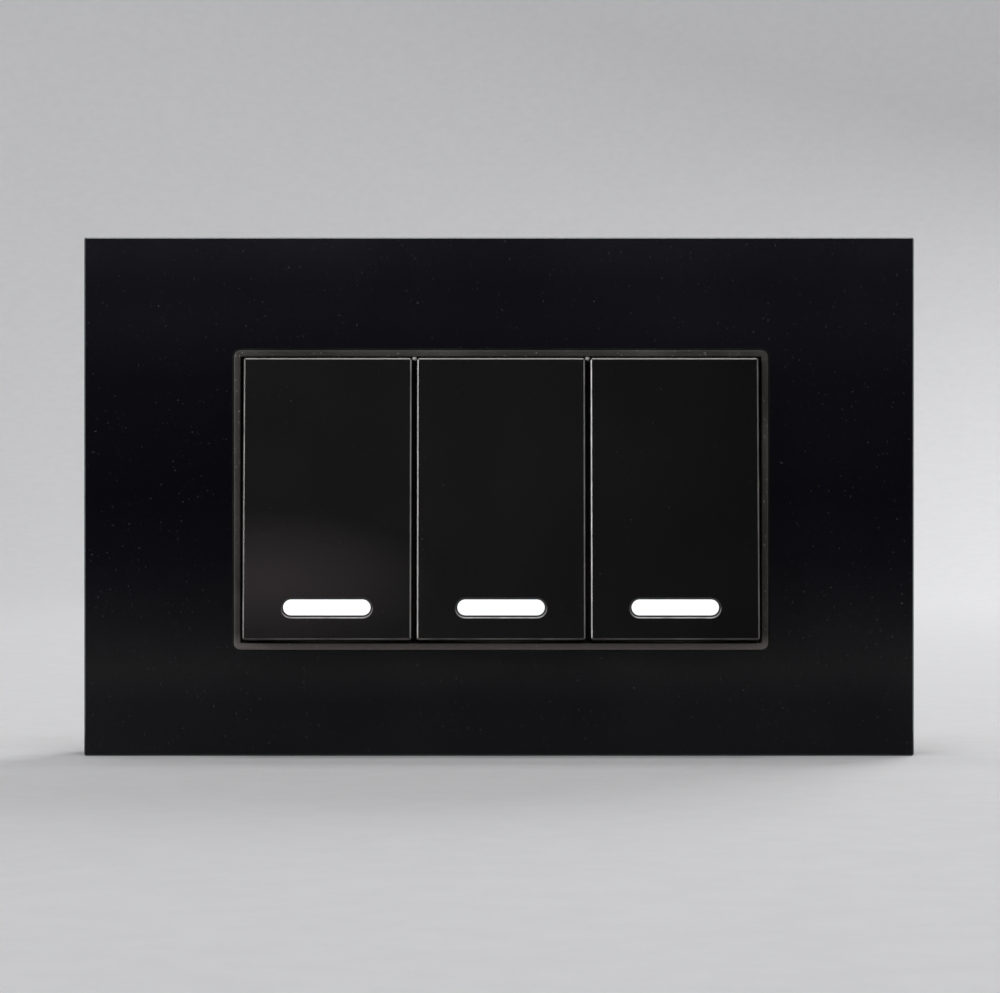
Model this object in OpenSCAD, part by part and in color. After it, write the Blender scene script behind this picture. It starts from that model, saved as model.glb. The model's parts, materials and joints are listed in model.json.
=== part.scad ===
// Wall plate cover of tempered glass over a set of three rocker switches, as fitted to a 4 x 2 box.
// X is the panel's width, Z its height, and its front faces -Y. The wall is the plane Y = 0, and the
// origin is the middle of the opening on the wall, midway between the two box screws.
// Each piece is drawn in panel coordinates, x right, y up and z out of the wall, then turned upright.

/* [Plate] */
// Width of the glass plate
plate_w = 120; // [118:0.5:126]
// Height of the glass plate
plate_h = 75; // [73:0.5:80]
// Thickness of the glass
glass_t = 4; // [3:0.5:5]
// Polished chamfer round the front and back of the glass
glass_chamfer = 0.3; // [0.2:0.1:0.8]
// Depth of the frame behind the glass, from the wall to the tape
frame_depth = 5.4; // [5:0.1:7]
// Thickness of the double-sided tape
tape_t = 0.6; // [0.4:0.1:1]

/* [Opening] */
// Width inside the bezel
bezel_w = 75.3; // [75.1:0.1:76]
// Height inside the bezel
bezel_h = 41.4; // [41.3:0.1:42]
// Thickness of the bezel's visible wall
bezel_wall = 1; // [0.8:0.1:1.4]
// Height of the bezel above the glass
bezel_lip = 0.2; // [0:0.1:0.6]
// Distance of the opening's middle right of the plate's middle
opening_right = 0.3; // [0:0.1:0.4]
// Distance of the opening's middle below the plate's middle
opening_drop = 0.5; // [0:0.1:0.5]

/* [Rockers] */
// Distance from one switch to the next
pitch = 25; // [24.9:0.1:25.2]
// Width of one rocker cap
cap_w = 24.2; // [23.6:0.1:24.4]
// Length of one rocker cap
cap_l = 40.6; // [40:0.1:40.8]
// Height of a level rocker's face above the glass
cap_rise = 2.6; // [2:0.1:3]
// Tilt of a rocker each way from level
tilt = 4; // [3:0.5:4]
// Length of the indicator window
window_l = 13; // [10:0.5:14]
// Height of the indicator window
window_h = 2.7; // [2.4:0.1:2.8]
// Distance of the indicator window below the rocker's middle
window_drop = 15.7; // [15.7:0.1:16.4]

/* [Mounting] */
// Distance between the box screws
screw_spacing = 83.5; // [83.5:0.1:83.8]
// Radius of the box screws' shanks
screw_r = 1.75; // [1.6:0.05:1.8]
// Length of the box screws under the head
screw_l = 25; // [20:1:40]

/* [Switch mechanism] */
// Depth of a switch housing behind the wall
housing_depth = 23; // [23:0.5:26]
// Radius of the wire bores in the terminals
wire_r = 1.7; // [1.2:0.1:1.7]

/* [Hidden] */
$fn = 48;
eps = 0.1;
modules = 3;
module_x = [for (i = [0 : modules - 1]) (i - (modules - 1) / 2) * pitch];

// levels out of the wall
carrier_t = 2;
glass_back = frame_depth + tape_t;
glass_front = glass_back + glass_t;
flange_back = frame_depth - 1.6;
bezel_back = flange_back - 1;
bezel_front = glass_front + bezel_lip;
cap_face = glass_front + cap_rise;
pivot_z = cap_face - 3.2;

// plate and frame outlines
frame_w = plate_w - 0.6;
frame_h = plate_h - 0.6;
rim_t = 1.6;
bezel_out_w = bezel_w + 2 * bezel_wall;
bezel_out_h = bezel_h + 2 * bezel_wall;
bezel_r = 1;
opening_w = bezel_out_w + 0.2;
opening_h = bezel_out_h + 0.2;
opening_r = bezel_r + 0.1;
bezel_flange = 3;
nib_w = 0.5;
nib_l = 0.5;
pry_x = 32.7;
pry_w = 6;
pry_h = 1.2;

// mounting frame, its prong pockets and the clips beside them
carrier_w = 110;
carrier_h = 60;
carrier_r = 3;
carrier_window_w = 3 * pitch + 0.4;
carrier_window_h = 37.4;
screw_slot_w = 4.2;
screw_slot_l = 8;
head_r = 3.3;
head_h = 1.5;
head_seat = 1.1;
neck_start = 0.05;
prong_x = 44.5;
prong_y = 15;
prong_t = 1.6;
prong_w = 4;
prong_depth = 4.6;
tooth = 0.4;
tooth_pitch = 0.9;
clip_t = 0.5;
clip_stud_x = prong_x - 3.9;
clip_stud_r = 0.75;

// shallow reliefs in the mounting frame's back
relief_depth = 0.9;
relief_w = 4;
side_relief_x = 48.5;
long_relief_y = 23.6;

// switch housing and its cover
housing_w = pitch - 0.6;
housing_h = 37;
housing_wall = 1.4;
housing_front = carrier_t;
housing_back = -housing_depth;
floor_z = housing_back + 1.6;
cover_w = pitch - 0.2;
cover_h = 40.8;
cover_front = housing_front + 1.6;
ear_x0 = 8.9;
ear_x1 = 10.4;
pin_r = 0.8;
pin_hole_r = 0.85;
tongue_w = 5;

// terminals
terminal_y = 14.5;
pillar_w = 8;
pillar_l = 5;
pillar_back = floor_z + 1.9;
wire_z = pillar_back + 3.5;
strap_w = 5;
strap_t = 0.9;
strap_top = -12;
load_strap_top = -11.3;
tap_r = 1.55;
terminal_screw_r = 1.5;
terminal_head_r = 2.7;
well_r = 3;

// contact arm, a shallow V that rocks on the common terminal's post
arm_z = -10;
arm_angle = 2 * tilt;
arm_l = 10.8;
arm_w = 6;
arm_t = 0.8;
post_r = 0.45;
arm_apex = post_r + 0.064 + arm_t / cos(arm_angle);
contact_r = 1.6;
contact_h = 0.8;
contact_reach = 9.5;
rivet_r = 0.8;
contact_gap = 0.06;

// rocker lever, spring and plunger
cap_wall = 1.2;
cap_skirt = 6.4;
cap_bevel = 0.35;
lever_top = cap_face - cap_wall;
lever_t = 2.2;
lever_half_l = 12.6;
lever_half_w = 8.6;
stem_r = 3.2;
stem_end = -4;
bore_r = 1.9;
bore_top = 5;
plunger_r = 1.85;
plunger_top = -1;
plunger_tip = arm_z + arm_apex + 0.078;
spring_r = 1.4;
spring_wire = 0.175;
spring_turns = 6;
coil_steps = 14;
wire_sides = 6;

// locator lamp
board_z = 0.4;
board_t = 1.2;
board_w = 21.4;
board_y0 = -16.9;
board_y1 = -11.1;
lamp_y = -15.1;
lamp_r = 1.5;
lamp_hole_r = 1.75;
lead_x = 8.5;
lead_y = -13.2;
lead_r = 0.5;
resistor_y = -12.9;
lamp_pin_x = 1.27;
resistor_pin_x = 4.6;
solder_pin_r = 0.25;

// ---------------------------------------------------------------- shared shapes

// Turns panel coordinates upright, so that the front faces -Y
module upright() {
    rotate([90, 0, 0]) children();
}

// Moves the plate's outline, whose middle is a little off the opening's
module on_plate() {
    translate([-opening_right, opening_drop, 0]) children();
}

module both_x() {
    children();
    mirror([1, 0, 0]) children();
}

module both_y() {
    children();
    mirror([0, 1, 0]) children();
}

// A box between two opposite corners
module block(low, high) {
    translate(low) cube(high - low);
}

// A cylinder along z between two heights
module rod(r, z0, z1) {
    translate([0, 0, z0]) cylinder(r = r, h = z1 - z0);
}

// A cylinder along x from x0 to x1
module rod_x(r, x0, x1) {
    translate([x0, 0, 0]) rotate([0, 90, 0]) cylinder(r = r, h = x1 - x0);
}

// A cylinder along y from y0 to y1
module rod_y(r, y0, y1) {
    translate([0, y1, 0]) rotate([90, 0, 0]) cylinder(r = r, h = y1 - y0);
}

module rounded_outline(w, h, r) {
    square([w - 2 * r, h], center = true);
    square([w, h - 2 * r], center = true);
    for (sx = [-1, 1], sy = [-1, 1])
        translate([sx * (w / 2 - r), sy * (h / 2 - r)]) circle(r);
}

module stadium_outline(w, h) {
    square([w - h, h], center = true);
    for (s = [-1, 1])
        translate([s * (w - h) / 2, 0]) circle(h / 2);
}

module rounded_slab(w, h, r, z0, z1) {
    translate([0, 0, z0]) linear_extrude(z1 - z0) rounded_outline(w, h, r);
}

module slab(w, h, z0, z1) {
    block([-w / 2, -h / 2, z0], [w / 2, h / 2, z1]);
}

module stadium(w, h, z0, z1) {
    translate([0, 0, z0]) linear_extrude(z1 - z0) stadium_outline(w, h);
}

// Half of a slab's edge profile, with a front and a back chamfer
function half_profile(w, z0, z1, front, back) = concat(
    back > 0 ? [[w / 2 - back, z0], [w / 2, z0 + back]] : [[w / 2, z0]],
    front > 0 ? [[w / 2, z1 - front], [w / 2 - front, z1]] : [[w / 2, z1]]
);

module edge_profile(w, z0, z1, front, back) {
    right = half_profile(w, z0, z1, front, back);
    left = [for (i = [len(right) - 1 : -1 : 0]) [-right[i][0], right[i][1]]];
    polygon(concat(right, left));
}

module chamfered_slab(w, h, z0, z1, front, back) {
    intersection() {
        rotate([90, 0, 0])
            linear_extrude(h, center = true) edge_profile(w, z0, z1, front, back);
        rotate([90, 0, 90])
            linear_extrude(w, center = true) edge_profile(h, z0, z1, front, back);
    }
}

// A spring of round wire, coiled about z
function wire_ring(a, z) = [
    for (k = [0 : wire_sides - 1])
        let (t = 360 * k / wire_sides, reach = spring_r + spring_wire * cos(t))
        [reach * cos(a), reach * sin(a), z + spring_wire * sin(t)]
];

module coil(z0, z1) {
    steps = spring_turns * coil_steps;
    rings = [
        for (i = [0 : steps]) wire_ring(360 * i / coil_steps, z0 + (z1 - z0) * i / steps)
    ];
    sides = [
        for (i = [0 : steps - 1], k = [0 : wire_sides - 1])
            let (a = i * wire_sides + k, b = i * wire_sides + (k + 1) % wire_sides)
            each [[a, b, b + wire_sides], [a, b + wire_sides, a + wire_sides]]
    ];
    first = [for (k = [wire_sides - 1 : -1 : 0]) k];
    last = [for (k = [0 : wire_sides - 1]) steps * wire_sides + k];
    polyhedron([for (ring = rings) each ring], concat(sides, [first, last]));
}

// Places a switch's pieces, and tilts its rocker or its contact arm to the rest position
module in_module(n) {
    upright() translate([module_x[n - 1], 0, 0]) children();
}

module on_rocker(n) {
    in_module(n) translate([0, 0, pivot_z]) rotate([-tilt, 0, 0])
        translate([0, 0, -pivot_z]) children();
}

module on_arm(n) {
    in_module(n) translate([0, 0, arm_z]) rotate([arm_angle, 0, 0]) children();
}

// ---------------------------------------------------------------- plate cover

module glass_panel() {
    color("#12111a") upright() difference() {
        on_plate()
            chamfered_slab(plate_w, plate_h, glass_back, glass_front, glass_chamfer, glass_chamfer);
        rounded_slab(opening_w, opening_h, opening_r, glass_back - eps, glass_front + eps);
    }
}

module adhesive_tape() {
    color("#2c2c2c") upright() difference() {
        on_plate() rounded_slab(frame_w - 2, frame_h - 2, 1, frame_depth, glass_back);
        rounded_slab(opening_w + 2, opening_h + 2, 1, frame_depth - eps, glass_back + eps);
    }
}

// One toothed prong that reaches back into the mounting frame, on the right
module prong() {
    inner = prong_x - prong_t / 2;
    outer = prong_x + prong_t / 2;
    root_z = flange_back + eps;
    first_tooth = -1.4;
    teeth = [
        for (i = [0 : 2])
            let (z = first_tooth - i * tooth_pitch)
            each [[inner + tooth, z], [inner, z], [inner + tooth, z - tooth_pitch + eps]]
    ];
    translate([0, prong_y + prong_w / 2, 0]) rotate([90, 0, 0]) linear_extrude(prong_w)
        polygon(concat(
            [[outer, root_z], [inner, root_z], [inner, -0.6], [inner + tooth, -1]],
            teeth,
            [[inner + tooth, -prong_depth], [outer - tooth, -prong_depth], [outer, tooth - prong_depth]]
        ));
}

module cover_frame() {
    rib_t = 1.2;
    rib_back = carrier_t + 0.4;
    rib_x = bezel_out_w / 2 + bezel_flange + 0.8;
    rib_y = bezel_out_h / 2 + bezel_flange + 0.8;
    color("#1b1b1d") upright() difference() {
        union() {
            on_plate() {
                rounded_slab(frame_w, frame_h, 1, flange_back, frame_depth);
                difference() {
                    rounded_slab(frame_w, frame_h, 1, 0, frame_depth);
                    slab(frame_w - 2 * rim_t, frame_h - 2 * rim_t, -eps, flange_back);
                }
                both_x() both_y() {
                    for (y = [6, 24])
                        block([rib_x, y - rib_t / 2, rib_back],
                              [frame_w / 2 - eps, y + rib_t / 2, flange_back + eps]);
                    for (x = [8, 26])
                        block([x - rib_t / 2, rib_y, rib_back],
                              [x + rib_t / 2, frame_h / 2 - eps, flange_back + eps]);
                }
            }
            both_x() both_y() prong();
        }
        rounded_slab(opening_w, opening_h, opening_r, flange_back - eps, frame_depth + eps);
        on_plate() both_x()
            block([pry_x - pry_w / 2, -frame_h / 2 - eps, -eps],
                  [pry_x + pry_w / 2, -frame_h / 2 + rim_t + eps, pry_h]);
    }
}

module opening_bezel() {
    flange_w = bezel_out_w + 2 * bezel_flange;
    flange_h = bezel_out_h + 2 * bezel_flange;
    color("#454340") upright() {
        difference() {
            union() {
                rounded_slab(bezel_out_w, bezel_out_h, bezel_r, bezel_back, bezel_front);
                rounded_slab(flange_w, flange_h, 1.5, bezel_back, flange_back);
            }
            slab(bezel_w, bezel_h, bezel_back - eps, bezel_front + eps);
        }
        for (s = [-1, 1])
            translate([s * pitch / 2, bezel_h / 2 - nib_l / 2, 0])
                slab(nib_w, nib_l + eps, bezel_front - 2.2, bezel_front - 0.2);
    }
}

// ---------------------------------------------------------------- mounting frame

module relief(low, high) {
    block([low[0], low[1], -eps], [high[0], high[1], relief_depth]);
}

module mounting_frame() {
    lip_t = 1;
    lip_gap = 0.2;
    divider_t = 0.4;
    lip_w = carrier_window_w + 2 * lip_gap;
    lip_h = cover_h + 2 * lip_gap;
    lip_top = bezel_back - 0.2;
    color("#30302f") upright() {
        difference() {
            union() {
                rounded_slab(carrier_w, carrier_h, carrier_r, 0, carrier_t);
                slab(lip_w + 2 * lip_t, lip_h + 2 * lip_t, carrier_t - eps, lip_top);
            }
            slab(lip_w, lip_h, carrier_t, lip_top + eps);
            slab(carrier_window_w, carrier_window_h, -eps, carrier_t + eps);
            both_x() {
                translate([screw_spacing / 2, 0, 0]) {
                    rotate([0, 0, 90]) stadium(screw_slot_l, screw_slot_w, -eps, head_seat + eps);
                    rotate([0, 0, 90])
                        stadium(screw_slot_l + 4, 2 * head_r + 0.6, head_seat, lip_top + eps);
                }
                both_y() {
                    translate([prong_x, prong_y, 0])
                        slab(prong_t + 0.6, prong_w + 0.6, -eps, carrier_t + eps);
                    relief([side_relief_x, 4], [side_relief_x + relief_w, 11]);
                    relief([side_relief_x, 14], [side_relief_x + relief_w, 24]);
                    relief([4, long_relief_y], [18, long_relief_y + relief_w]);
                    relief([21, long_relief_y], [35, long_relief_y + relief_w]);
                }
            }
        }
        both_x() {
            both_y() translate([clip_stud_x, prong_y, 0]) rod(clip_stud_r, -1.1, eps);
            translate([pitch / 2, 0, 0]) slab(divider_t, carrier_window_h + 2 * eps, 0, carrier_t);
        }
    }
}

// Four spring-steel clips, one beside each prong
module retaining_clips() {
    base_w = prong_w + 0.4;
    leaf_from = [prong_x - 1.65, -0.25];
    leaf_to = [prong_x - 0.6, -1.2];
    run = leaf_to - leaf_from;
    side = [-run[1], run[0]] / norm(run) * 0.2;
    color("#b9bcc0") upright() both_x() both_y() {
        difference() {
            block([clip_stud_x - 1.6, prong_y - base_w / 2, -clip_t],
                  [leaf_from[0], prong_y + base_w / 2, 0]);
            translate([clip_stud_x, prong_y, 0]) rod(clip_stud_r + 0.1, -clip_t - eps, eps);
        }
        translate([0, prong_y + prong_w / 2, 0]) rotate([90, 0, 0]) linear_extrude(prong_w)
            polygon([leaf_from - side, leaf_to - side, leaf_to + side, leaf_from + side]);
    }
}

module box_screws() {
    slot_w = 0.9;
    slot_z = head_seat + head_h - 0.8;
    head_top = head_seat + head_h;
    color("#c9cacb") upright() both_x() translate([screw_spacing / 2, 0, 0]) {
        difference() {
            rod(head_r, head_seat, head_top);
            slab(2 * head_r - 1, slot_w, slot_z, head_top + eps);
            slab(slot_w, 2 * head_r - 2.6, slot_z, head_top + eps);
        }
        rod(screw_r, head_seat - screw_l, neck_start);
        rod(screw_r - 0.15, neck_start - eps, head_seat + eps);
    }
}

// ---------------------------------------------------------------- switch module, fixed pieces

module housing(n) {
    inner_w = housing_w - 2 * housing_wall;
    inner_h = housing_h - 2 * housing_wall;
    barb_z = -3;
    seat_top = wire_z + 1.8;
    stop_top = arm_z + arm_apex * cos(arm_angle) - arm_t - 0.16;
    stop_y = 9.5;
    color("#e4e2dc") in_module(n) difference() {
        union() {
            difference() {
                rounded_slab(housing_w, housing_h, 1, housing_back, housing_front);
                slab(inner_w, inner_h, floor_z, housing_front + eps);
            }
            both_y() {
                translate([0, terminal_y, 0]) {
                    rod(well_r + 0.9, housing_back - 0.6, floor_z);
                    rod(well_r + 0.9, floor_z - eps, pillar_back - 0.05);
                }
                both_x() {
                    block([pillar_w / 2 + 0.1, terminal_y - pillar_l / 2, floor_z - eps],
                          [pillar_w / 2 + 1.1, inner_h / 2 + eps, seat_top]);
                    translate([7, housing_h / 2 - eps, 0]) rotate([90, 0, 90])
                        linear_extrude(3, center = true)
                        polygon([[0, -0.2], [0.9 + eps, -0.2], [0.9 + eps, -0.8], [0, -2.6]]);
                }
            }
            both_x() {
                block([strap_w / 2 + 0.2, -stop_y - 0.8, floor_z - eps],
                      [strap_w / 2 + 1.1, -stop_y + 0.8, stop_top]);
                block([board_w / 2 - 0.9, board_y0 - eps, board_z - 1.2],
                      [inner_w / 2 + eps, board_y1, board_z]);
            }
            for (x = [-6, 0, 6])
                block([x - 0.6, -7, housing_back - 0.4], [x + 0.6, 7, housing_back + eps]);
        }
        both_y() {
            translate([0, terminal_y, 0]) rod(well_r, housing_back - 1, pillar_back);
            translate([0, 0, wire_z]) {
                rod_y(wire_r + 0.4, inner_h / 2 - eps, housing_h / 2 + eps);
                translate([0, housing_h / 2 + eps, 0]) rotate([90, 0, 0])
                    cylinder(r1 = wire_r + 1.2, r2 = wire_r + 0.4, h = 0.8 + eps);
            }
        }
        both_x() block([inner_w / 2 - eps, -tongue_w / 2 - 0.4, barb_z - 0.2],
                       [housing_w / 2 + eps, tongue_w / 2 + 0.4, barb_z + 1.2]);
    }
}

module module_cover(n) {
    ear_top_r = 1.6;
    tongue_x = housing_w / 2 - housing_wall - 0.7;
    color("#1e1e20") in_module(n) {
        difference() {
            slab(cover_w, cover_h, housing_front, cover_front);
            slab(2 * (stem_r + 0.4), 2 * (stem_r + 0.7), housing_front - eps, cover_front + eps);
            translate([0, lamp_y, 0]) rod(lamp_hole_r, housing_front - eps, cover_front + eps);
        }
        both_x() {
            difference() {
                translate([ear_x0, 0, 0]) rotate([90, 0, 90]) linear_extrude(ear_x1 - ear_x0) {
                    translate([0, pivot_z]) circle(ear_top_r);
                    polygon([[-4, cover_front - eps], [4, cover_front - eps],
                             [ear_top_r, pivot_z], [-ear_top_r, pivot_z]]);
                }
                translate([0, 0, pivot_z]) rod_x(pin_hole_r, ear_x0 - eps, ear_x1 + eps);
            }
            block([tongue_x, -tongue_w / 2, -3], [tongue_x + 0.6, tongue_w / 2, housing_front + eps]);
            translate([tongue_x, 0, 0]) rotate([90, 0, 0]) linear_extrude(tongue_w, center = true)
                polygon([[0.5, -3], [0.7, -3], [1.5, -2.3], [0.5, -2.3]]);
        }
        both_y() both_x()
            block([4, 17.4, cover_front - eps], [10, 18.4, cover_front + 0.6]);
    }
}

// The brass pillar with a wire bore across it and a tapped hole from behind
module pillar(top) {
    difference() {
        block([-pillar_w / 2, terminal_y - pillar_l / 2, pillar_back],
              [pillar_w / 2, terminal_y + pillar_l / 2, top]);
        translate([0, 0, wire_z]) rod_y(wire_r, 0, terminal_y + pillar_l);
        translate([0, terminal_y, 0]) rod(tap_r, pillar_back - eps, wire_z);
    }
}

module common_terminal(n) {
    color("#c9a24a") in_module(n) mirror([0, 1, 0]) {
        pillar(strap_top - strap_t);
        block([-strap_w / 2, -0.6, strap_top - strap_t],
              [strap_w / 2, terminal_y + pillar_l / 2, strap_top]);
        block([-strap_w / 2, -post_r, strap_top - eps], [strap_w / 2, post_r, arm_z]);
        translate([0, 0, arm_z]) rod_x(post_r, -strap_w / 2, strap_w / 2);
    }
}

module load_terminal(n) {
    contact_y = contact_reach + arm_apex * sin(arm_angle);
    color("#c9a24a") in_module(n) {
        pillar(load_strap_top - strap_t);
        difference() {
            block([-strap_w / 2, contact_y - 2.1, load_strap_top - strap_t],
                  [strap_w / 2, terminal_y + pillar_l / 2, load_strap_top]);
            translate([0, contact_y, 0])
                rod(rivet_r, load_strap_top - strap_t - eps, load_strap_top + eps);
        }
    }
}

// A silver contact rivet with its face at z = 0, its head below and its tail through a sheet
module contact_rivet(head, sheet) {
    rod(contact_r, 0, head);
    rod(rivet_r, head - eps, head + sheet + eps);
    rod(rivet_r + 0.4, head + sheet, head + sheet + 0.3);
}

module fixed_contact(n) {
    face_z = arm_z + arm_apex * cos(arm_angle) - arm_t - contact_h - contact_gap;
    contact_y = contact_reach + arm_apex * sin(arm_angle);
    color("#d9dadc") in_module(n) translate([0, contact_y, face_z]) mirror([0, 0, 1])
        contact_rivet(face_z - load_strap_top, strap_t);
}

module terminal_screws(n) {
    head_back = floor_z - 1.1;
    head_front = floor_z + 0.9;
    color("#b8b9bb") in_module(n) both_y() translate([0, terminal_y, 0]) {
        difference() {
            rod(terminal_head_r, head_back, head_front);
            slab(2 * terminal_head_r + 1, 0.8, head_back - eps, head_back + 1);
        }
        rod(terminal_screw_r, head_front - eps, wire_z - wire_r - 0.15);
    }
}

module board_hole(r) {
    rod(r, board_z - eps, board_z + board_t + eps);
}

module lamp_board(n) {
    pin_hole = solder_pin_r + 0.1;
    color("#1f5a36") in_module(n) difference() {
        block([-board_w / 2, board_y0, board_z], [board_w / 2, board_y1, board_z + board_t]);
        both_x() {
            translate([lamp_pin_x, lamp_y, 0]) board_hole(pin_hole);
            translate([resistor_pin_x, resistor_y, 0]) board_hole(pin_hole);
            translate([lead_x, lead_y, 0]) board_hole(lead_r + 0.05);
        }
    }
}

module lamp(n) {
    flange_top = board_z + board_t + 0.35;
    dome_z = cover_front + 1.2;
    color("#f4f1e6") in_module(n) translate([0, lamp_y, 0]) {
        rod(1.9, board_z + board_t, flange_top);
        rod(lamp_r, flange_top - eps, dome_z);
        translate([0, 0, dome_z]) sphere(lamp_r);
        both_x() translate([lamp_pin_x, 0, 0])
            rod(solder_pin_r, board_z - 0.5, board_z + board_t + eps);
    }
}

module resistor(n) {
    body_r = 1.1;
    axis_z = board_z - body_r - 0.1;
    color("#c8b48c") in_module(n) translate([0, resistor_y, 0]) {
        translate([0, 0, axis_z]) {
            rod_x(body_r, -3, 3);
            rod_x(solder_pin_r, -resistor_pin_x - solder_pin_r, resistor_pin_x + solder_pin_r);
        }
        both_x() translate([resistor_pin_x, 0, 0]) rod(solder_pin_r, axis_z, board_z + board_t);
    }
}

// One insulated lead along square bends, with a round elbow at each corner
module lead(path) {
    for (i = [0 : len(path) - 2]) {
        a = path[i];
        b = path[i + 1];
        run = b - a;
        translate(a) rotate([0, acos(run[2] / norm(run)), atan2(run[1], run[0])])
            cylinder(r = lead_r, h = norm(run));
    }
    for (i = [1 : len(path) - 2])
        translate(path[i]) sphere(lead_r);
}

module lamp_leads(n) {
    side_z = strap_top - 1.6;
    run_z = -6;
    start_z = board_z + board_t;
    color("#8c1f1c") in_module(n) {
        lead([[-lead_x, lead_y, start_z], [-lead_x, lead_y, side_z],
              [-pillar_w / 2, lead_y, side_z]]);
        lead([[lead_x, lead_y, start_z], [lead_x, lead_y, run_z], [lead_x, terminal_y, run_z],
              [lead_x, terminal_y, side_z], [pillar_w / 2, terminal_y, side_z]]);
    }
}

// ---------------------------------------------------------------- switch module, moving pieces

module rocker_cap(n) {
    catch_y = lever_half_l + 0.3;
    under_lever = lever_top - lever_t;
    color("#1c1c1e") on_rocker(n) {
        difference() {
            chamfered_slab(cap_w, cap_l, cap_face - cap_skirt, cap_face, cap_bevel, 0);
            slab(cap_w - 2 * cap_wall, cap_l - 2 * cap_wall, cap_face - cap_skirt - eps, lever_top);
            translate([0, -window_drop, 0]) stadium(window_l, window_h, lever_top - eps, cap_face + eps);
        }
        both_y() {
            block([-5, catch_y, under_lever - 1.4], [5, catch_y + 1, lever_top + eps]);
            block([-5, lever_half_l - 0.6, under_lever - 0.9], [5, catch_y + eps, under_lever - 0.1]);
        }
    }
}

module rocker_lever(n) {
    under_lever = lever_top - lever_t;
    color("#ece9e0") on_rocker(n) {
        difference() {
            union() {
                slab(2 * lever_half_w, 2 * lever_half_l, under_lever, lever_top);
                translate([0, 0, pivot_z]) rod_x(pin_r, -ear_x1, ear_x1);
                rod(stem_r, stem_end, under_lever + eps);
            }
            rod(bore_r, stem_end - eps, bore_top);
        }
        both_y() block([-0.6, stem_r - 0.2, under_lever - 2.4], [0.6, stem_r + 3, under_lever + eps]);
    }
}

module indicator_lens(n) {
    fit = 0.05;
    color("#ffffff") on_rocker(n) translate([0, -window_drop, 0]) {
        stadium(window_l - 2 * fit, window_h - 2 * fit, lever_top - eps, cap_face + 0.1);
        slab(window_l + 2, window_h + 0.7, lever_top - 0.8, lever_top);
        slab(window_l - 3, window_h - 0.6, lever_top - 3.4, lever_top - 0.8 + eps);
    }
}

module plunger_spring(n) {
    slack = 0.03;
    color("#b9bcc0") on_rocker(n)
        coil(plunger_top + spring_wire + slack, bore_top - spring_wire - slack);
}

module plunger(n) {
    ball_z = plunger_tip + plunger_r;
    color("#d6b25e") on_rocker(n) {
        rod(plunger_r, ball_z, plunger_top);
        translate([0, 0, ball_z]) sphere(plunger_r);
    }
}

module contact_arm(n) {
    reach = [cos(arm_angle), sin(arm_angle)] * arm_l;
    drop = [sin(arm_angle), -cos(arm_angle)] * arm_t;
    apex = [0, arm_apex];
    right_top = apex + reach;
    right_under = right_top + drop;
    color("#c58a4a") on_arm(n) {
        difference() {
            rotate([90, 0, 90]) linear_extrude(arm_w, center = true) polygon([
                apex,
                [-right_top[0], right_top[1]],
                [-right_under[0], right_under[1]],
                [0, arm_apex - arm_t / cos(arm_angle)],
                right_under,
                right_top
            ]);
            translate([0, 0, arm_apex]) rotate([arm_angle, 0, 0])
                translate([0, contact_reach, 0]) rod(rivet_r, -arm_t - 1, 1);
        }
        both_x() block([strap_w / 2 + 0.1, -1.2, -1], [arm_w / 2, 1.2, arm_apex - arm_t + 0.2]);
    }
}

module moving_contact(n) {
    color("#d9dadc") on_arm(n) translate([0, 0, arm_apex]) rotate([arm_angle, 0, 0])
        translate([0, contact_reach, -arm_t - contact_h]) contact_rivet(contact_h, arm_t);
}

// ---------------------------------------------------------------- assembly

glass_panel();
adhesive_tape();
cover_frame();
opening_bezel();
mounting_frame();
retaining_clips();
box_screws();
for (n = [1 : modules]) {
    housing(n);
    module_cover(n);
    common_terminal(n);
    load_terminal(n);
    fixed_contact(n);
    terminal_screws(n);
    lamp_board(n);
    lamp(n);
    resistor(n);
    lamp_leads(n);
    rocker_cap(n);
    rocker_lever(n);
    indicator_lens(n);
    plunger_spring(n);
    plunger(n);
    contact_arm(n);
    moving_contact(n);
}
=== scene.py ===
"""The looks of a black glass wall plate cover over three rocker switches.

Pieces are drawn in millimetres in panel axes, x right, y up and z out of the wall, or in the axes
of one tilted rocker. They are then carried to the frame's metres, where the wall is Y = 0 and the
room lies towards -Y.
"""
import json
import math

import bmesh
import bpy
from mathutils import Matrix, Vector


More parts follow.
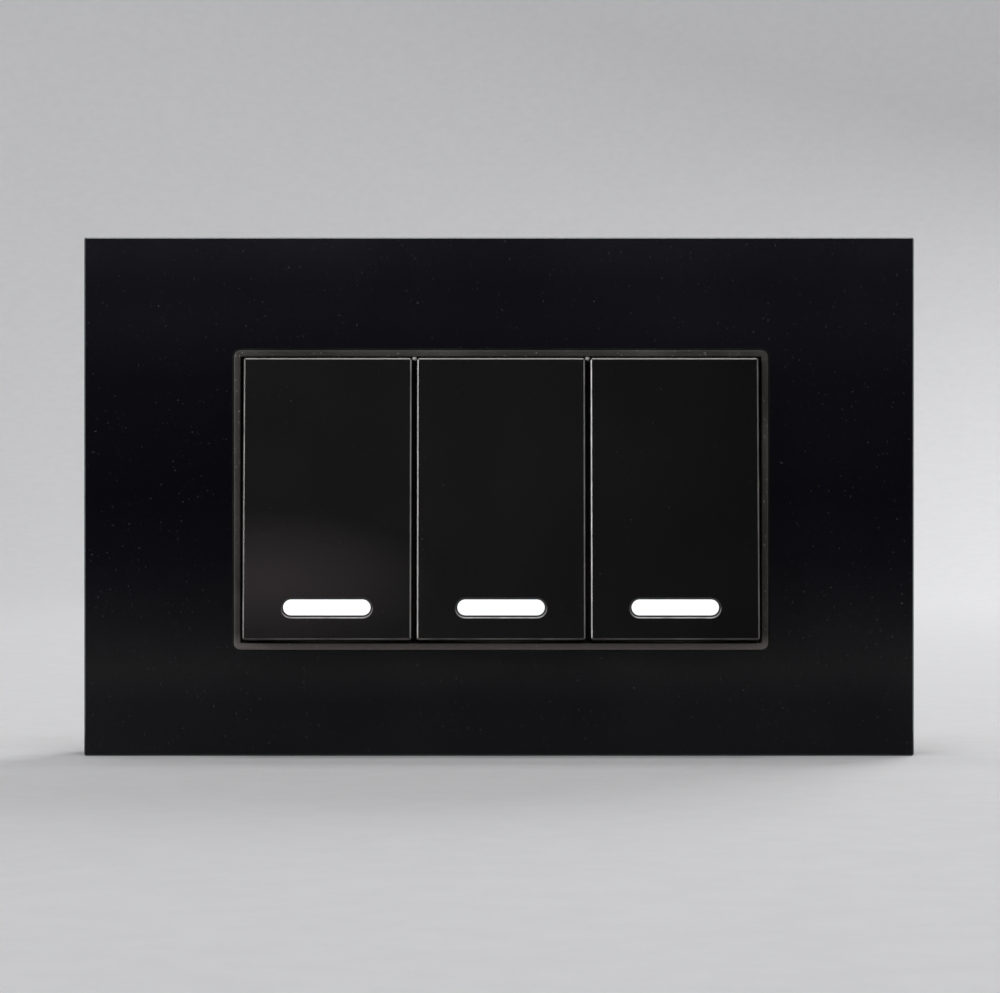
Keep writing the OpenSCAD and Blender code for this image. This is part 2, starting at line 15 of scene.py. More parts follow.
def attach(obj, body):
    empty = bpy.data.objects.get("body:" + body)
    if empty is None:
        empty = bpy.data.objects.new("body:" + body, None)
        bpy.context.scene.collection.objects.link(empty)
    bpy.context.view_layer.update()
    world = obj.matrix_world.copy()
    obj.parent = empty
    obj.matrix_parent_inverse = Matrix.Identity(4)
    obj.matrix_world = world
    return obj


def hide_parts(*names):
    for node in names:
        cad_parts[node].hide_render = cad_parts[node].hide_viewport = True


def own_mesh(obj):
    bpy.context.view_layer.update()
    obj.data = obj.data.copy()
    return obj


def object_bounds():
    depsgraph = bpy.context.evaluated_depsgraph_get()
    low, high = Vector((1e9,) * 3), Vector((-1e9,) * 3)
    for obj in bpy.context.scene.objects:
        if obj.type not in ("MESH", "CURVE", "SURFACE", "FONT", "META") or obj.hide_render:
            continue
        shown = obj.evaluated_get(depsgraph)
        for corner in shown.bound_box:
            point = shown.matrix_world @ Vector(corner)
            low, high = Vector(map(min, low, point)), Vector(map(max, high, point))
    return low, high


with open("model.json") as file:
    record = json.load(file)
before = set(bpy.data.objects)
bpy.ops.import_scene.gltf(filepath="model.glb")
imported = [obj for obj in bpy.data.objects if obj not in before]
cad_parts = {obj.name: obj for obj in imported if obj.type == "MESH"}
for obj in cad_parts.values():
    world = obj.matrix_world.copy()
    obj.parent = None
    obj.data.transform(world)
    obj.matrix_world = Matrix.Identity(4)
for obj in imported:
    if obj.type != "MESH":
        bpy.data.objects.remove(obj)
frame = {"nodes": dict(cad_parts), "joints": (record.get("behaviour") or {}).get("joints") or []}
cad_low, cad_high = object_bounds()

MM = 0.001
NEAR_MM = 0.02  # points this near a height are at it
MERGE_MM = 1e-4  # points closer than this are one, in a drawn piece
WELD_MM = 1e-3  # and in a CAD piece
CREASE_DEG = 32  # a sharper edge isn't smoothed over
FLAT_DEG = 0.5  # CAD faces this close to one plane are merged
EDGE_DEG = 38  # a sharper CAD edge is broken
FACE_WEIGHT = 60  # how strongly big faces pull the normals of their edges
NODES = frame["nodes"]
JOINTS = {joint["name"]: joint for joint in frame["joints"]}
SWITCHES = (1, 2, 3)

# ---------------------------------------------------------------- places, from the frame

PANEL = Matrix(((MM, 0, 0, 0), (0, 0, -MM, 0), (0, MM, 0, 0), (0, 0, 0, 1)))
RIGHT, UP = Vector((1, 0, 0)), Vector((0, 1, 0))


class Box:
    """A CAD node's extent in millimetres, in the axes that to_frame carries to the frame."""

    def __init__(self, node, to_frame=PANEL):
        inverse = to_frame.inverted()
        points = [inverse @ vertex.co for vertex in NODES[node].data.vertices]
        self.points = points
        self.x0, self.y0, self.z0 = (min(p[axis] for p in points) for axis in range(3))
        self.x1, self.y1, self.z1 = (max(p[axis] for p in points) for axis in range(3))
        self.w = self.x1 - self.x0
        self.h = self.y1 - self.y0
        self.cx = (self.x0 + self.x1) / 2
        self.cy = (self.y0 + self.y1) / 2

    def level(self, z):
        """The points at one height out of the wall."""
        return [p for p in self.points if abs(p.z - z) < NEAR_MM]


def rocker_axes(n):
    """Carries a rocker's own millimetres, with its pivot at the origin, to the frame."""
    pivot = Vector(JOINTS[f"rocker_{n}_tilt"]["pos_m"])
    out = Vector(JOINTS[f"plunger_{n}_press"]["axis"]).normalized()
    axes = Matrix((RIGHT, out.cross(RIGHT), out)).transposed().to_4x4()
    return Matrix.Translation(pivot) @ axes @ Matrix.Scale(MM, 4)


ROCKER = {n: rocker_axes(n) for n in SWITCHES}

# ---------------------------------------------------------------- mesh tools


class Builder:
    """Collects faces in millimetres and turns them into one piece."""

    def __init__(self):
        self.bm = bmesh.new()
        self.finish = 0

    def face(self, corners):
        self.bm.faces.new(corners).material_index = self.finish

    def bridge(self, ring, other):
        for i in range(len(ring)):
            j = (i + 1) % len(ring)
            self.face((ring[i], ring[j], other[j], other[i]))

    def loft(self, loops, wrap=False, finishes=()):
        """Skins loops of equally many points. The ends are closed, or joined to each other.

        The finishes, if any, are the material numbers of the bands between the loops in turn.
        """
        rings = [[self.bm.verts.new(point) for point in loop] for loop in loops]
        pairs = list(zip(rings, rings[1:]))
        if wrap:
            pairs.append((rings[-1], rings[0]))
        else:
            self.face(rings[0][::-1])
            self.face(rings[-1])
        for i, (ring, other) in enumerate(pairs):
            if finishes:
                self.finish = finishes[i]
            self.bridge(ring, other)

    def build(self, name, to_frame=PANEL, crease=CREASE_DEG):
        """Cleans the mesh and carries it to the frame, edges over the crease angle kept sharp."""
        bmesh.ops.remove_doubles(self.bm, verts=self.bm.verts, dist=MERGE_MM)
        bmesh.ops.dissolve_degenerate(self.bm, dist=MERGE_MM, edges=self.bm.edges)
        bmesh.ops.recalc_face_normals(self.bm, faces=self.bm.faces)
        mesh = bpy.data.meshes.new(name)
        self.bm.to_mesh(mesh)
        self.bm.free()
        mesh.transform(to_frame)
        mesh.shade_smooth()
        mesh.set_sharp_from_angle(angle=math.radians(crease))
        made = bpy.data.objects.new(name, mesh)
        bpy.context.scene.collection.objects.link(made)
        return made


def arc(cx, cy, r, start, end, steps):
    """Points along an arc, its angles in degrees."""
    angles = [math.radians(start + (end - start) * i / steps) for i in range(steps + 1)]
    return [(cx + r * math.cos(a), cy + r * math.sin(a)) for a in angles]


def rounded_loop(w, h, r, z, cx=0.0, cy=0.0, steps=6):
    """The outline of a rectangle with round corners, anticlockwise."""
    r = min(r, w / 2, h / 2)
    points = []
    for corner, (sx, sy) in enumerate(((1, 1), (-1, 1), (-1, -1), (1, -1))):
        x, y = cx + sx * (w / 2 - r), cy + sy * (h / 2 - r)
        points += [(px, py, z) for px, py in arc(x, y, r, 90 * corner, 90 * corner + 90, steps)]
    return points


def circle(r, z, cx=0.0, cy=0.0, sides=32):
    return [(x, y, z) for x, y in arc(cx, cy, r, 0, 360, sides)[:-1]]


def turned(builder, profile, cx=0.0, cy=0.0, sides=32):
    """A turned solid about z, from (radius, height) pairs. A radius of 0 ends in a point."""
    point_r = MERGE_MM / 10
    builder.loft([circle(max(r, point_r), z, cx, cy, sides) for r, z in profile])


def ring_about(point, along, across, r, sides):
    """A circle about a point, square to a direction."""
    side = along.cross(across).normalized()
    return [
        point + r * (math.cos(a) * across + math.sin(a) * side)
        for a in (2 * math.pi * i / sides for i in range(sides))
    ]


def tube(builder, path, r, sides=12):
    """A round tube along a path, with its ends closed."""
    path = [Vector(p) for p in path]
    tangents = [
        (path[min(i + 1, len(path) - 1)] - path[max(i - 1, 0)]).normalized()
        for i in range(len(path))
    ]
    across = tangents[0].orthogonal().normalized()
    loops = []
    for point, along in zip(path, tangents):
        across = (across - along * along.dot(across)).normalized()
        loops.append(ring_about(point, along, across, r, sides))
    builder.loft(loops)


def bent(points, r, steps=6):
    """A path with each inner corner rounded to about the radius r."""
    points = [Vector(p) for p in points]
    path = [points[0]]
    for before, corner, after in zip(points, points[1:], points[2:]):
        reach = min(r, (before - corner).length / 2.2, (after - corner).length / 2.2)
        start = corner + (before - corner).normalized() * reach
        end = corner + (after - corner).normalized() * reach
        for i in range(steps + 1):
            t = i / steps
            path.append(start * (1 - t) ** 2 + corner * 2 * t * (1 - t) + end * t ** 2)
    return path + [points[-1]]


def strip(builder, path, thickness, y0, y1):
    """A bent strip of sheet along a path in the x-z plane, from y0 to y1."""
    flat = [Vector((x, z)) for x, z in path]
    left, right = [], []
    for i, point in enumerate(flat):
        along = (flat[min(i + 1, len(flat) - 1)] - flat[max(i - 1, 0)]).normalized()
        side = Vector((-along.y, along.x)) * thickness / 2
        left.append(point + side)
        right.append(point - side)
    builder.loft([
        [(a.x, y0, a.y), (a.x, y1, a.y), (b.x, y1, b.y), (b.x, y0, b.y)]
        for a, b in zip(left, right)
    ])


def thread(builder, z0, z1, crest, root, pitch, cx, tip, sides=28):
    """A screw thread about z from z0 up to z1, closed by a cone down to tip and a flat top.

    Its root takes the second finish, and the rest the first.
    """
    radii = (root, crest, crest, root)
    phases = (0, 0.24, 0.42, 0.66)  # where each is reached, as a share of the pitch
    turns = int((z1 - z0) / pitch) - 1
    last = 4 * turns

    def vertex(row, column):
        a = 2 * math.pi * column / sides
        z = z0 + (row // 4 + phases[row % 4] + column / sides) * pitch
        r = radii[row % 4]
        return builder.bm.verts.new((cx + r * math.cos(a), r * math.sin(a), z))

    grid = {(i, j): vertex(i, j) for i in range(last + 1) for j in range(sides)}
    grid.update({(i, 0): vertex(i, 0) for i in range(last + 1, last + 5)})

    def at(row, column):
        return grid[(row, column)] if column < sides else grid[(row + 4, 0)]

    for i in range(last):
        builder.finish = 1 if i % 4 == 3 else 0
        for j in range(sides):
            builder.face((at(i, j), at(i, j + 1), at(i + 1, j + 1), at(i + 1, j)))
    builder.finish = 0
    rims = (
        [at(0, j) for j in range(sides)] + [at(i, 0) for i in (4, 3, 2, 1)],
        [at(last, j) for j in range(sides)] + [at(last + i, 0) for i in (4, 3, 2, 1)],
    )
    for rim, z in zip(rims, (tip, z1)):
        middle = builder.bm.verts.new((cx, 0, z))
        for i in range(len(rim)):
            builder.face((rim[i], rim[(i + 1) % len(rim)], middle))


def cut(made, tools):
    """Cuts closed pieces out of another one, and removes them."""
    for tool in tools:
        change = made.modifiers.new("cut", "BOOLEAN")
        change.operation = "DIFFERENCE"
        change.solver = "EXACT"
        change.object = tool
    ready = made.evaluated_get(bpy.context.evaluated_depsgraph_get())
    made.data = bpy.data.meshes.new_from_object(ready)
    made.data.set_sharp_from_angle(angle=math.radians(CREASE_DEG))
    made.modifiers.clear()
    for tool in tools:
        bpy.data.objects.remove(tool)


def settle(made, body, nodes, slot, *finishes):
    """Gives a finished piece its materials, its body and the CAD nodes that it stands for.

    Weighted normals keep its big flat faces flat in the light beside their rounded edges.
    """
    for finish in finishes:
        made.data.materials.append(finish)
    weighted = made.modifiers.new("weighted normals", "WEIGHTED_NORMAL")
    weighted.keep_sharp = True
    weighted.weight = FACE_WEIGHT
    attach(made, body)
    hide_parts(*nodes)


def soften(node, width, finish, segments=2):
    """A CAD node with its flat faces merged, its edges broken and a finished material."""
    made = NODES[node]
    weld = made.modifiers.new("weld", "WELD")
    weld.merge_threshold = WELD_MM * MM
    flat = made.modifiers.new("merge flat faces", "DECIMATE")
    flat.decimate_type = "DISSOLVE"
    flat.angle_limit = math.radians(FLAT_DEG)
    bevel = made.modifiers.new("broken edges", "BEVEL")
    bevel.width = width * MM
    bevel.segments = segments
    bevel.limit_method = "ANGLE"
    bevel.angle_limit = math.radians(EDGE_DEG)
    bevel.harden_normals = True
    bevel.use_clamp_overlap = True
    made.data.materials.clear()
    made.data.materials.append(finish)


# ---------------------------------------------------------------- materials


class Finish:
    """A Principled material whose colour, roughness and surface vary at a real scale."""

    def __init__(self, name, rough=0.4, metallic=0.0, ior=1.5, coat=0.0):
        self.material = bpy.data.materials.new(name)
        self.material.use_nodes = True
        self.nodes = self.material.node_tree.nodes
        self.links = self.material.node_tree.links
        self.shader = self.nodes["Principled BSDF"]
        values = {"Roughness": rough, "Metallic": metallic, "IOR": ior, "Coat Weight": coat}
        for socket, value in values.items():
            self.shader.inputs[socket].default_value = value
        self.place = self.nodes.new("ShaderNodeTexCoord").outputs["Object"]

    def stretched(self, scale):
        """Object coordinates scaled apart, so that a noise becomes brushed lines."""
        mapping = self.nodes.new("ShaderNodeMapping")
        mapping.inputs["Scale"].default_value = scale
        self.links.new(self.place, mapping.inputs["Vector"])
        return mapping.outputs["Vector"]

    def noise(self, size_mm, detail=3.0, place=None):
        """Noise with features of about the given size."""
        made = self.nodes.new("ShaderNodeTexNoise")
        made.inputs["Scale"].default_value = 1 / (size_mm * MM)
        made.inputs["Detail"].default_value = detail
        self.links.new(place or self.place, made.inputs["Vector"])
        return made.outputs["Fac"]

    def ramp(self, factor, stops):
        """Colours at places between 0 and 1, in order."""
        made = self.nodes.new("ShaderNodeValToRGB")
        elements = made.color_ramp.elements
        while len(elements) < len(stops):
            elements.new(0.5)
        for element, (position, color) in zip(elements, stops):
            element.position = position
            element.color = (*color, 1)
        self.links.new(factor, made.inputs["Fac"])
        return made.outputs["Color"]

    def color(self, dark, light, size_mm, detail=3.0, place=None, low=0.35, high=0.65):
        """A base colour that drifts between two tones."""
        found = self.ramp(self.noise(size_mm, detail, place), ((low, dark), (high, light)))
        self.links.new(found, self.shader.inputs["Base Color"])
        return found

    def speckle(self, base, color, size_mm, rarity=0.76):
        """Small specks of another colour over a base colour."""
        speck = self.span(self.noise(size_mm, detail=1), 0, 1, source=(rarity, rarity + 0.05))
        self.links.new(self.mix(speck, base, color), self.shader.inputs["Base Color"])

    def span(self, factor, low, high, source=(0.3, 0.7)):
        """A value carried from one range to another, and held at its ends."""
        made = self.nodes.new("ShaderNodeMapRange")
        for name, value in zip(("From Min", "From Max", "To Min", "To Max"), (*source, low, high)):
            made.inputs[name].default_value = value
        self.links.new(factor, made.inputs["Value"])
        return made.outputs["Result"]

    def glow(self, strength, tone):
        self.shader.inputs["Emission Strength"].default_value = strength
        self.links.new(tone, self.shader.inputs["Emission Color"])

    def gloss(self, low, high, size_mm, detail=3.0, place=None):
        factor = self.noise(size_mm, detail, place)
        self.links.new(self.span(factor, low, high), self.shader.inputs["Roughness"])

    def grain(self, size_mm, depth_mm, strength=0.6, detail=2.0, place=None):
        self.relief(self.noise(size_mm, detail, place), depth_mm, strength)

    def relief(self, height, depth_mm, strength):
        """Fine relief, which adds to any relief given before."""
        bump = self.nodes.new("ShaderNodeBump")
        bump.inputs["Strength"].default_value = strength
        bump.inputs["Distance"].default_value = depth_mm * MM
        self.links.new(height, bump.inputs["Height"])
        normal = self.shader.inputs["Normal"]
        if normal.is_linked:
            self.links.new(normal.links[0].from_socket, bump.inputs["Normal"])
        self.links.new(bump.outputs["Normal"], normal)

    def axis(self, name):
        split = self.nodes.new("ShaderNodeSeparateXYZ")
        self.links.new(self.place, split.inputs["Vector"])
        return split.outputs[name]

    def far_from(self, x_mm, z_mm, across=1.0):
        """The distance in metres from a point of the panel's face, its width scaled by a factor."""
        apart = self.nodes.new("ShaderNodeVectorMath")
        apart.operation = "DISTANCE"
        apart.inputs[1].default_value = (x_mm * across * MM, 0, z_mm * MM)
        flat = self.nodes.new("ShaderNodeVectorMath")
        flat.operation = "MULTIPLY"
        flat.inputs[1].default_value = (across, 0, 1)
        self.links.new(self.place, flat.inputs[0])
        self.links.new(flat.outputs["Vector"], apart.inputs[0])
        return apart.outputs["Value"]

    def mix(self, factor, a, b, blend="MIX"):
        """Two colours blended, each of them a node's output or fixed."""
        made = self.nodes.new("ShaderNodeMix")
        made.data_type = "RGBA"
        made.blend_type = blend
        if isinstance(factor, (int, float)):
            made.inputs["Factor"].default_value = factor
        else:
            self.links.new(factor, made.inputs["Factor"])
        for socket, value in ((made.inputs["A"], a), (made.inputs["B"], b)):
            if isinstance(value, tuple):
                socket.default_value = (*value, 1)
            else:
                self.links.new(value, socket)
        return made.outputs["Result"]


def coated(name, rough, color, gloss, grain, ior=1.5, coat=0.0):
    """One drifting colour, one patchy gloss and one grain, each given as its method takes it."""
    made = Finish(name, rough=rough, ior=ior, coat=coat)
    made.color(*color)
    made.gloss(*gloss)
    made.grain(*grain)
    return made.material


FLANGE_REACH = 3.0  # how far the bezel's hidden flange stands out past its wall


def glass_face():
    """Back-painted glass: a deep blue black, darkest at mid height, greyer and paler below it, its
    change with height a painted reflection.
    """
    made = Finish("black_glass", rough=0.05)
    plate = Box("glass_panel")
    rise = made.span(made.axis("Z"), 0, 1, source=(plate.y0 * MM, plate.y1 * MM))
    # painted reflection: the colour is paler near the top and bottom and darkest at mid height, as
    # the room's reflections would leave it
    painted_light_ramp = made.ramp(rise, (
        (0.03, (0.0082, 0.0079, 0.0102)),
        (0.1, (0.0083, 0.008, 0.0099)),
        (0.165, (0.013, 0.0129, 0.0137)),
        (0.27, (0.0068, 0.0063, 0.0082)),
        (0.38, (0.0025, 0.0021, 0.0045)),
        (0.5, (0.0011, 0.0008, 0.0031)),
        (0.72, (0.0024, 0.002, 0.0044)),
        (0.83, (0.0051, 0.0046, 0.0078)),
        (0.91, (0.0053, 0.0048, 0.0082)),
        (0.98, (0.0086, 0.0081, 0.012)),
    ))
    haze = made.noise(30, detail=3)
    haze = made.ramp(haze, ((0.35, (0.78, 0.78, 0.8)), (0.65, (1.15, 1.15, 1.12))))
    made.speckle(made.mix(1.0, painted_light_ramp, haze, "MULTIPLY"), (0.04, 0.039, 0.042), 0.35, 0.74)
    made.gloss(0.035, 0.075, 16, detail=3)
    made.grain(28, 0.02, strength=0.12, detail=1)
    return made.material


def plastic(name, dark, light, rough, grain_mm=0.35, depth_mm=0.02, strength=0.5, flow_mm=18):
    """Moulded plastic: slow flow in its colour, a patchy gloss and the grain of the mould."""
    made = Finish(name, rough=rough[0])
    made.color(dark, light, flow_mm, detail=4)
    made.gloss(rough[0], rough[1], flow_mm / 6, detail=4)
    made.grain(grain_mm * 8, depth_mm * 1.5, strength=strength * 0.5, detail=2)
    made.grain(grain_mm, depth_mm, strength=strength, detail=3)
    return made.material


def bezel_plastic():
    """Satin charcoal plastic with pale specks and rub marks, and painted paler along its lower edge
    as light from below.
    """
    made = Finish("bezel_plastic", rough=0.6)
    made.shader.inputs["Specular IOR Level"].default_value = 0.25
    base = made.color((0.034, 0.032, 0.03), (0.064, 0.06, 0.055), 12, detail=5, low=0.4, high=0.62)
    # painted light: the surround grows paler towards its lower edge, as if lit from below
    bottom = (FLANGE_REACH - Box("opening_bezel").h / 2) * MM
    low = made.span(made.axis("Z"), 1, 0, source=(bottom + 0.5 * MM, bottom + 2.5 * MM))
    made.speckle(made.mix(low, base, (0.128, 0.113, 0.107)), (0.2, 0.19, 0.18), 0.42, 0.7)
    made.gloss(0.5, 0.72, 3)
    made.grain(0.22, 0.012, strength=0.45, detail=3)
    made.grain(3, 0.05, strength=0.3, detail=2)
    return made.material


def rocker_plastic():
    """High gloss, near black, with painted shade deepening it to the right and a painted sheen, a
    reflected highlight, low on the leftmost cap.
    """
    made = Finish("rocker_plastic", rough=0.12, coat=0.15)
    made.shader.inputs["Coat Roughness"].default_value = 0.04
    # painted shade: the caps' colour deepens from left to right, as the light falls off across them
    along = made.span(made.axis("X"), 0, 1, source=(-0.037, 0.037))
    painted_light_ramp = made.ramp(along, (
        (0.0, (0.008, 0.0078, 0.0078)),
        (0.5, (0.0078, 0.0077, 0.0077)),
        (1.0, (0.0036, 0.0034, 0.0036)),
    ))
    flow = made.noise(16, detail=3)
    flow = made.ramp(flow, ((0.35, (0.85, 0.85, 0.85)), (0.65, (1.15, 1.12, 1.12))))
    # painted sheen: a pale warm patch low on the leftmost cap stands in for a reflected highlight
    painted_sheen = made.span(made.far_from(-34, -11.7, 0.42), 1, 0, source=(0.0015, 0.0105))
    tone = made.mix(painted_sheen, made.mix(1.0, painted_light_ramp, flow, "MULTIPLY"), (0.0305, 0.0258, 0.0267))
    made.speckle(tone, (0.05, 0.048, 0.047), 0.3)
    made.gloss(0.09, 0.17, 7, detail=4, place=made.stretched((3, 1, 1)))
    made.grain(9, 0.02, strength=0.12, detail=1)
    made.grain(0.3, 0.002, strength=0.25)
    return made.material


def slot_lip():
    """The window's lip, painted dark above as shade and pale below as a highlight."""
    made = Finish("slot_lip", rough=0.2)
    painted_lip_glint = made.color((0.24, 0.235, 0.23), (0.42, 0.41, 0.4), 1.2, detail=4)
    # painted highlight below and painted shade above: the lip is pale low down and dark high up
    below = made.span(made.axis("Z"), 1, 0, source=(-0.0168, -0.0156))
    tone = made.mix(below, (0.02, 0.019, 0.018), painted_lip_glint)
    made.links.new(tone, made.shader.inputs["Base Color"])
    made.gloss(0.14, 0.3, 1.5, detail=4)
    made.grain(0.2, 0.003, strength=0.3)
    return made.material


def lens_plastic():
    """White light guide, lit from behind."""
    made = Finish("lens_white", rough=0.25)
    made.glow(0.55, made.color((0.9, 0.92, 0.93), (1.0, 1.0, 1.0), 3, detail=2))
    made.shader.inputs["Subsurface Weight"].default_value = 0.3
    made.shader.inputs["Subsurface Scale"].default_value = 0.001
    made.gloss(0.18, 0.32, 2)
    made.grain(0.3, 0.006, strength=0.3)
    return made.material


def lamp_glass():
    made = Finish("lamp_glass", rough=0.12)
    made.glow(0.5, made.color((0.85, 0.84, 0.78), (0.97, 0.96, 0.9), 1.5))
    made.gloss(0.06, 0.25, 0.8)
    made.grain(0.2, 0.004, strength=0.3)
    return made.material


def metal(name, dark, light, rough, brush=(1, 1, 1), streak_mm=0.4, patch_mm=3.0):
    """Metal with streaks along its rolling or turning direction and a patchy tarnish."""
    made = Finish(name, rough=rough[0], metallic=1.0)
    made.color(dark, light, patch_mm, detail=4)
    made.gloss(rough[0], rough[1], patch_mm / 2, detail=4)
    made.grain(streak_mm, 0.006, strength=0.5, detail=3, place=made.stretched(brush))
    return made.material


def circuit_board():
    """Green solder mask over a glass weave."""
    made = Finish("circuit_board", rough=0.3)
    made.color((0.01, 0.075, 0.03), (0.02, 0.115, 0.048), 2.5, detail=4)
    made.gloss(0.22, 0.4, 1)
    weave = made.nodes.new("ShaderNodeTexWave")
    weave.inputs["Scale"].default_value = 900
    made.links.new(made.place, weave.inputs["Vector"])
    made.relief(weave.outputs["Fac"], 0.01, 0.15)
    return made.material


# The face, the ground and polished edge that shows the glass's green body, and the painted back
GLASS = (
    glass_face(),
    coated("glass_edge", 0.12, ((0.008, 0.016, 0.013), (0.02, 0.034, 0.028), 3),
           (0.1, 0.16, 5, 2), (6, 0.01, 0.12, 1), ior=2.1),
    coated("glass_back_paint", 0.5, ((0.006, 0.006, 0.007), (0.013, 0.013, 0.014), 5),
           (0.38, 0.6, 2), (0.35, 0.02, 0.4)),
)
# The surround, and its nibs, whose pale glossy colour is a painted highlight
BEZEL = (
    bezel_plastic(),
    coated("nib_plastic", 0.2, ((0.52, 0.51, 0.49), (0.72, 0.71, 0.69), 0.5),
           (0.12, 0.24, 0.4), (0.12, 0.004, 0.3)),
)
# A cap's face, its narrow bevels a little paler as a painted highlight, its matt inner walls, its
# sides, warm brown-black and paler than the face as painted light in the gaps between caps, and its
# window's lip
ROCKER_PLASTIC = (
    rocker_plastic(),
    coated("rocker_edge", 0.2, ((0.05, 0.046, 0.044), (0.11, 0.103, 0.098), 4, 4),
           (0.14, 0.3, 2.5, 4), (0.2, 0.003, 0.3), coat=0.1),
    coated("rocker_inside", 0.7, ((0.004, 0.0034, 0.0032), (0.008, 0.0066, 0.006), 5),
           (0.6, 0.85, 1.5), (0.25, 0.01, 0.4)),
    coated("rocker_flank", 0.35, ((0.016, 0.011, 0.009), (0.03, 0.021, 0.017), 5),
           (0.28, 0.45, 3), (0.25, 0.004, 0.3)),
    slot_lip(),
)
# The light guide, and its foot under the cap, painted grey as shade and unlit
LENS = (
    lens_plastic(),
    coated("lens_foot", 0.5, ((0.16, 0.16, 0.16), (0.26, 0.26, 0.26), 2),
           (0.4, 0.6, 1), (0.3, 0.01, 0.4)),
)
LAMP = lamp_glass()
BOARD = circuit_board()
FOAM = coated("foam_tape", 0.9, ((0.02, 0.02, 0.021), (0.05, 0.05, 0.052), 0.5, 4),
              (0.8, 0.98, 1), (0.18, 0.08, 0.9, 4))
PAPER = coated("studio_paper", 0.8, ((0.74, 0.74, 0.75), (0.76, 0.76, 0.77), 5, 2),
               (0.8, 0.9, 8), (1.2, 0.01, 0.08))
RESISTOR = plastic("resistor_body", (0.42, 0.3, 0.16), (0.55, 0.41, 0.23), (0.25, 0.4),
                   grain_mm=0.2, depth_mm=0.005, flow_mm=2)
FRAME = plastic("frame_plastic", (0.013, 0.013, 0.014), (0.024, 0.024, 0.026), (0.42, 0.6),
                grain_mm=0.4, depth_mm=0.03, strength=0.6)
CARRIER = plastic("carrier_plastic", (0.045, 0.046, 0.048), (0.072, 0.073, 0.076), (0.38, 0.58),
                  grain_mm=0.4, depth_mm=0.03, strength=0.55, flow_mm=14)
COVER = plastic("cover_plastic", (0.044, 0.029, 0.025), (0.07, 0.046, 0.04), (0.4, 0.6),
                grain_mm=0.35, depth_mm=0.02, strength=0.5)
HOUSING = plastic("housing_plastic", (0.63, 0.61, 0.56), (0.685, 0.67, 0.62), (0.34, 0.46),
                  grain_mm=0.4, depth_mm=0.02, strength=0.3, flow_mm=16)
LEVER = plastic("lever_plastic", (0.68, 0.65, 0.57), (0.78, 0.75, 0.67), (0.34, 0.5),
                grain_mm=0.3, depth_mm=0.015, strength=0.4, flow_mm=8)
LEAD = plastic("lead_insulation", (0.16, 0.012, 0.01), (0.24, 0.022, 0.018), (0.3, 0.42),
               grain_mm=0.3, depth_mm=0.008, strength=0.3, flow_mm=4)
SPRING = metal("spring_steel", (0.42, 0.43, 0.44), (0.62, 0.62, 0.62), (0.2, 0.36), (1, 14, 1))
ZINC = metal("zinc_steel", (0.46, 0.47, 0.48), (0.64, 0.64, 0.63), (0.22, 0.36), streak_mm=0.5)
ZINC_ROOT = metal("zinc_root", (0.1, 0.1, 0.1), (0.18, 0.18, 0.17), (0.45, 0.6), streak_mm=0.5)
BRASS = metal("terminal_brass", (0.5, 0.33, 0.11), (0.72, 0.52, 0.22), (0.2, 0.38), (12, 1, 1))
SILVER = metal("contact_silver", (0.7, 0.7, 0.69), (0.86, 0.86, 0.85), (0.14, 0.3), streak_mm=0.2)
COPPER = metal("arm_copper", (0.5, 0.26, 0.13), (0.68, 0.4, 0.22), (0.2, 0.36), (12, 1, 1))
SOLDER = metal("solder", (0.45, 0.46, 0.47), (0.66, 0.67, 0.68), (0.16, 0.34),
               streak_mm=0.3, patch_mm=1)
BANDS = [
    plastic(f"band_{name}", dark, light, (0.22, 0.36), grain_mm=0.2, depth_mm=0.004, flow_mm=1.5)
    for name, dark, light in (
        ("brown", (0.1, 0.035, 0.012), (0.14, 0.05, 0.02)),
        ("black", (0.01, 0.01, 0.01), (0.02, 0.02, 0.02)),
        ("yellow", (0.62, 0.45, 0.05), (0.74, 0.55, 0.09)),
        ("gold", (0.4, 0.28, 0.08), (0.55, 0.4, 0.14)),
    )
]

# ---------------------------------------------------------------- the plate cover

OPENING_ROUND = 1.1


def glass_plate():
    """The plate: a flat front, narrow polished chamfers, and an opening with a fine arris."""
    box = Box("glass_panel")
    rim = 5  # narrower than the glass is beside its opening
    face = box.level(box.z1)
    half_w = max(abs(p.x) for p in face if abs(p.x) < box.w / 2 - rim)
    half_h = max(abs(p.y) for p in face if abs(p.y) < box.h / 2 - rim)
    chamfer = 0.2
    arris = 0.12
    soft = 0.06
    corner = 0.35
    front, polished, back = 0, 1, 2

    def outer(inset, z):
        w, h, r = box.w - 2 * inset, box.h - 2 * inset, max(corner - inset, 0.05)
        return rounded_loop(w, h, r, z, box.cx, box.cy)

    def inner(inset, z):
        return rounded_loop(2 * (half_w + inset), 2 * (half_h + inset), OPENING_ROUND + inset, z)

    builder = Builder()
    edge = [
        outer(chamfer + soft, box.z0), outer(chamfer, box.z0 + 0.02), outer(0.03, box.z0 + chamfer),
        outer(0, box.z0 + chamfer + soft), outer(0, box.z1 - chamfer - soft),
        outer(0.03, box.z1 - chamfer), outer(chamfer, box.z1 - 0.02), outer(chamfer + soft, box.z1),
    ]
    hole = [
        inner(arris, box.z1), inner(0, box.z1 - arris),
        inner(0, box.z0 + arris), inner(arris, box.z0),
    ]
    finishes = [polished] * (len(edge) - 1) + [front] + [polished] * (len(hole) - 1) + [back]
    builder.loft(edge + hole, wrap=True, finishes=finishes)
    settle(builder.build("plate_glass", crease=20), "cover", ["glass_panel"], "black_glass", *GLASS)


